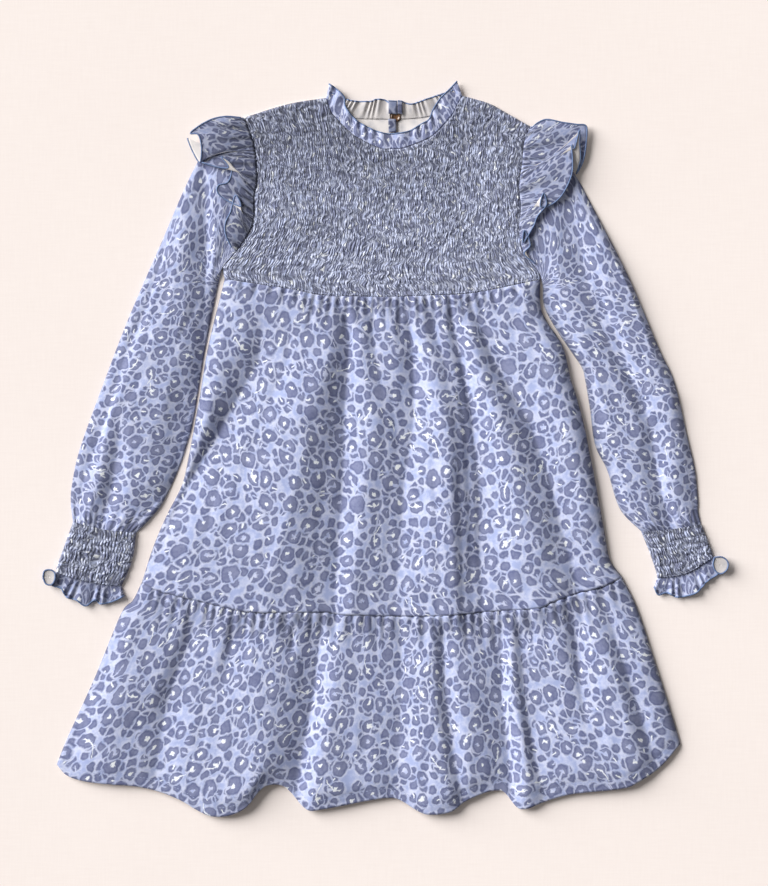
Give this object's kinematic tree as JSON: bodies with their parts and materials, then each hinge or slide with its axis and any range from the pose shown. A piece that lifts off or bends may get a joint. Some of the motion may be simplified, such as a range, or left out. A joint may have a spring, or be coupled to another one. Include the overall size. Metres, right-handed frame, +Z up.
{
  "type": "smocked child's dress",
  "caption": "Long-sleeved child's dress laid flat: smocked bodice, frill collar, shoulder ruffles, smocked cuffs with frills, gathered skirt and hem tier, in an animal-spot print.",
  "frame": {"origin": "centre of the whole outline, on the surface that the dress lies on", "axes": "+Z up from the surface, +Y from hem to neck, +X to the right as seen from above with the neck at the top"},
  "size_m": [0.6296, 0.6754, 0.0086],
  "materials": {
    "printed": "light plain-woven cotton, periwinkle ground with grey-blue animal spots",
    "smocked": "the same print drawn up in close smocked ribs",
    "wrong_side": "unprinted cream wrong side of the cloth",
    "button": "polished tortoise brown"
  },
  "bodies": {
    "root": {"bodice_front": "smocked", "bodice_back": "wrong_side", "skirt_front": "printed", "skirt_back": "printed", "tier_front": "printed", "tier_back": "printed", "sleeve_left": "printed", "sleeve_right": "printed", "cuff_left": "smocked", "cuff_right": "smocked", "cuff_frill_left": "printed", "cuff_frill_right": "printed", "shoulder_ruffle_left": "printed", "shoulder_ruffle_right": "printed", "neck_frill_front": "printed", "neck_frill_back_left": "wrong_side", "neck_frill_back_right": "wrong_side", "neck_frill_end_left": "printed", "neck_frill_end_right": "printed", "keyhole_binding": "printed", "back_button": "button"}
  },
  "joints": []
}
